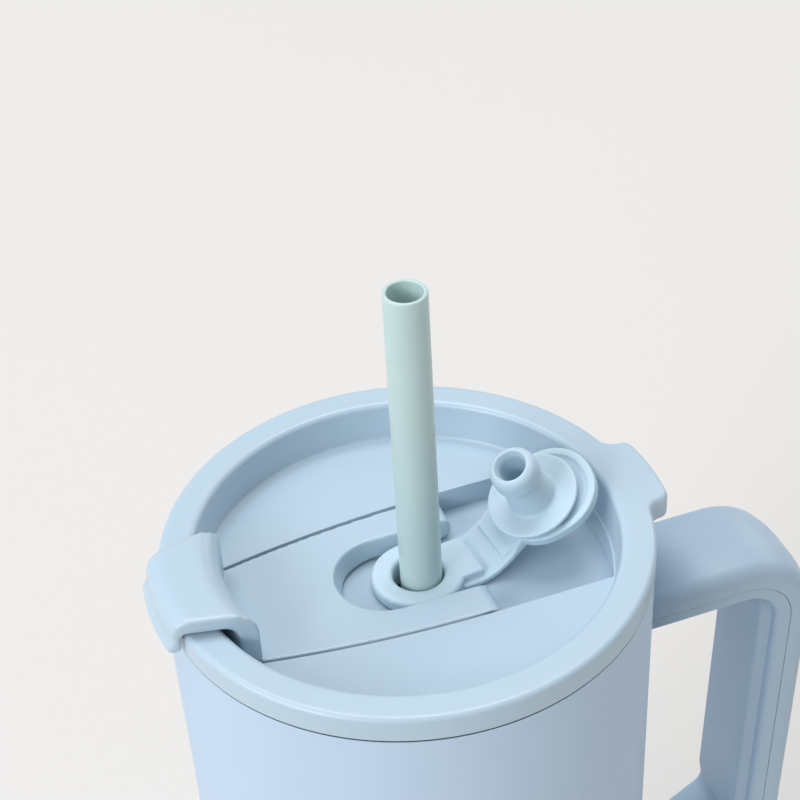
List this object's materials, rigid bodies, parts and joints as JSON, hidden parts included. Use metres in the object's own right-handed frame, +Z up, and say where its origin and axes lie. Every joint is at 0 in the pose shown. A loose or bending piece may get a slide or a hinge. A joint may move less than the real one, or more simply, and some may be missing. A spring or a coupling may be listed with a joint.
{
  "type": "insulated straw tumbler",
  "caption": "Double-wall insulated drinking tumbler with a side handle, a push-in lid with a flip lever over the sip hole, a silicone straw stopper and a straight straw.",
  "frame": {"origin": "centre of the underside of the base pad, on the cup's axis", "axes": "+Z up along the cup's axis; +X from the axis towards the handle and the lid's lift tab; +Y to the left of +X"},
  "size_m": [0.1443, 0.1, 0.274],
  "materials": {
    "powder_coat": "fine matt powder coat, pale blue",
    "stainless_steel": "satin stainless steel",
    "lid_plastic": "moulded polypropylene with a soft gloss, pale blue",
    "handle_plastic": "satin moulded plastic, pale blue",
    "silicone": "matt silicone, pale blue",
    "base_silicone": "matt silicone, pale blue",
    "straw_plastic": "extruded plastic, grey green",
    "solder_glass": "dark solder glass bead",
    "getter_alloy": "dull metal strip"
  },
  "bodies": {
    "cup": {"outer_wall": "powder_coat", "inner_liner": "stainless_steel", "base_disc": "stainless_steel", "vacuum_seal": "solder_glass", "getter_strip": "getter_alloy", "base_pad": "base_silicone", "handle_shell": "handle_plastic", "handle_cover": "handle_plastic", "grip_pad": "handle_plastic", "bracket_top": "stainless_steel", "bracket_bottom": "stainless_steel", "handle_screw_top": "stainless_steel", "handle_screw_bottom": "stainless_steel"},
    "lid": {"lid_body": "lid_plastic", "lid_gasket": "silicone", "lever_pin_front": "stainless_steel", "lever_pin_back": "stainless_steel", "stopper_ring": "silicone", "stopper_strap": "silicone"},
    "lever": {"lever": "lid_plastic", "drink_seal": "silicone"},
    "stopper": {"stopper_flap": "silicone"},
    "straw": {"straw": "straw_plastic"}
  },
  "joints": [
    {"name": "lid_lift", "type": "slide", "parent": "cup", "child": "lid", "axis": [0, 0, 1], "range_m": [0, 0.215]},
    {"name": "lever_flip", "type": "hinge", "parent": "lid", "child": "lever", "pos_m": [0.0105, 0, 0.2039], "axis": [0, 1, 0], "range_deg": [0, 50]},
    {"name": "stopper_fold", "type": "hinge", "parent": "lid", "child": "stopper", "pos_m": [0.0162, 0, 0.2035], "axis": [0, -1, 0], "range_deg": [-4, 22], "stiffness_Nm_per_rad": 0.03, "deforming": ["stopper_strap"]},
    {"name": "straw_slide", "type": "slide", "parent": "lid", "child": "straw", "axis": [0, 0, 1], "range_m": [0, 0.195]}
  ]
}
